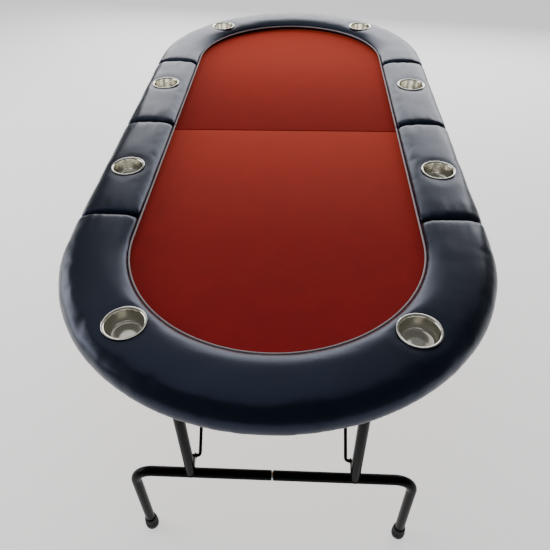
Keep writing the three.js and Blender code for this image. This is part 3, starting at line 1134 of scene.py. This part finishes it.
def screwPlaces():
    spotsUnder = []
    strapLow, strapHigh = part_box("near_pivot_strap_right")
    strapX = (strapLow.x + strapHigh.x) / 2
    for side in sides:
        for y in (strapLow.y + 0.010, strapHigh.y - 0.010):
            spotsUnder.append((side * strapX, y, strapHigh.z - 0.003))
    leafLow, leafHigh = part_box("near_hinge_leaf_right")
    leafX = (leafLow.x + leafHigh.x) / 2
    for side in sides:
        for dx in (-0.022, 0, 0.022):
            spotsUnder.append((side * leafX + dx, leafLow.y + 0.012, leafHigh.z - 0.003))
    catchLow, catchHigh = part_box("near_stay_catch")
    for x in (-0.012, 0.012):
        spotsUnder.append((x, catchLow.y + 0.010, catchHigh.z - 0.0022))
        spotsUnder.append((x, catchHigh.y - 0.008, catchHigh.z - 0.0022))
    battenLow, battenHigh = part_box("near_seam_batten")
    for k in range(7):
        x = battenLow.x + 0.04 + (battenHigh.x - battenLow.x - 0.08) * k / 6
        if abs(abs(x) - leafX) > 0.035:
            spotsUnder.append((x, (battenLow.y + battenHigh.y) / 2, battenLow.z))
    runLow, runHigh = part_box("near_side_batten_right")
    for side in sides:
        for k in range(5):
            y = runLow.y + 0.03 + (runHigh.y - runLow.y - 0.06) * k / 4
            spotsUnder.append((side * (runLow.x + runHigh.x) / 2, y, runLow.z))
    return spotsUnder


def screwSet(name):
    model = screwModel()
    heads = [
        copied(
            model,
            f"screw{i}",
            Matrix.Translation(place) @ Matrix.Rotation(0.7 * i, 4, "Z"),
        )
        for i, place in enumerate(screwPlaces())
    ]
    bpy.data.objects.remove(model)
    return joined(heads, name)


screwsNear = screwSet("nearScrews")
screwsFar = copied(screwsNear, "farScrews", halfTurn)
settle(screwsNear, zinc, "near_half", "zinc_steel")
settle(screwsFar, zinc, "far_half", "zinc_steel")
print("screws set")

# finishes of the solids that stay
keptFinish = {
    "deck": boardFinish,
    "rail_board": vinyl,
    "seam_batten": pineAcross,
    "side_batten": pineAlong,
    "stay_catch": zinc,
    "pivot_strap": zinc,
    "hinge_leaf": zinc,
    "hinge_pin": zinc,
    "foot_sleeve": zinc,
}
for nodeName, node in frame["nodes"].items():
    for part, finish in keptFinish.items():
        if part in nodeName:
            node.data.materials.clear()
            node.data.materials.append(finish)

# floor, light and camera
room = {"floor": 16.0, "world": 0.16, "glow": 0.8}
softboxes = {
    "backPanel": {"at": (0.4, 2.9, 1.55), "to": (0, 0.5, 0.75), "size": (4.6, 1.7), "power": 105},
    "leftPanel": {"at": (-3.6, 0.2, 1.5), "to": (-0.4, -0.2, 0.75), "size": (3, 1.6), "power": 70},
    "topPanel": {"at": (-0.6, 0.6, 3.2), "to": (0, 0, 0.7), "size": (2.6, 2.6), "power": 15},
}


def studioFloor():
    # matt white with a little light of its own, so that it stays paler than the object
    sockets = {"Roughness": 0.85, "Emission Strength": room["glow"]}
    material, tree, shader, place = newMaterial("paleFloor", sockets)
    shader.inputs["Emission Color"].default_value = colour("#FFFFFF")
    tone = blendColours(tree, spots(tree, place, 0.8), "#EFEEEC", "#F6F5F3")
    tree.links.new(tone, shader.inputs["Base Color"])
    bpy.ops.mesh.primitive_plane_add(size=room["floor"] * 2, location=(0, 0, -0.0005))
    floor = takeActive("floor")
    floor.data.materials.append(material)


def softbox(name, panel):
    light = bpy.data.lights.new(name, "AREA")
    light.shape = "RECTANGLE"
    light.size, light.size_y = panel["size"]
    light.energy = panel["power"]
    lamp = bpy.data.objects.new(name, light)
    bpy.context.collection.objects.link(lamp)
    lamp.location = panel["at"]
    heading = Vector(panel["to"]) - Vector(panel["at"])
    lamp.rotation_euler = heading.to_track_quat("-Z", "Y").to_euler()


view = {
    "place": (0.0521, -1.569, 1.556),
    "down": 42.48,
    "left": 3.28,
    "roll": -0.97,
    "lens": 36.12,
}


def studioCamera():
    camera = bpy.data.objects.new("camera", bpy.data.cameras.new("camera"))
    bpy.context.collection.objects.link(camera)
    camera.data.sensor_width = 36
    camera.data.lens = view["lens"]
    camera.data.clip_end = 60
    aim = Matrix.Rotation(math.radians(view["left"]), 4, "Z")
    tilt = Matrix.Rotation(math.radians(90 - view["down"]), 4, "X")
    lean = Matrix.Rotation(math.radians(view["roll"]), 4, "Z")
    camera.matrix_world = Matrix.Translation(view["place"]) @ aim @ tilt @ lean
    bpy.context.scene.camera = camera


studioFloor()
for name, panel in softboxes.items():
    softbox(name, panel)
world = bpy.data.worlds.new("studio")
bpy.context.scene.world = world
world.use_nodes = True
world.node_tree.nodes["Background"].inputs["Color"].default_value = colour("#F4F6FA")
world.node_tree.nodes["Background"].inputs["Strength"].default_value = room["world"]
studioCamera()
print("studio lit")
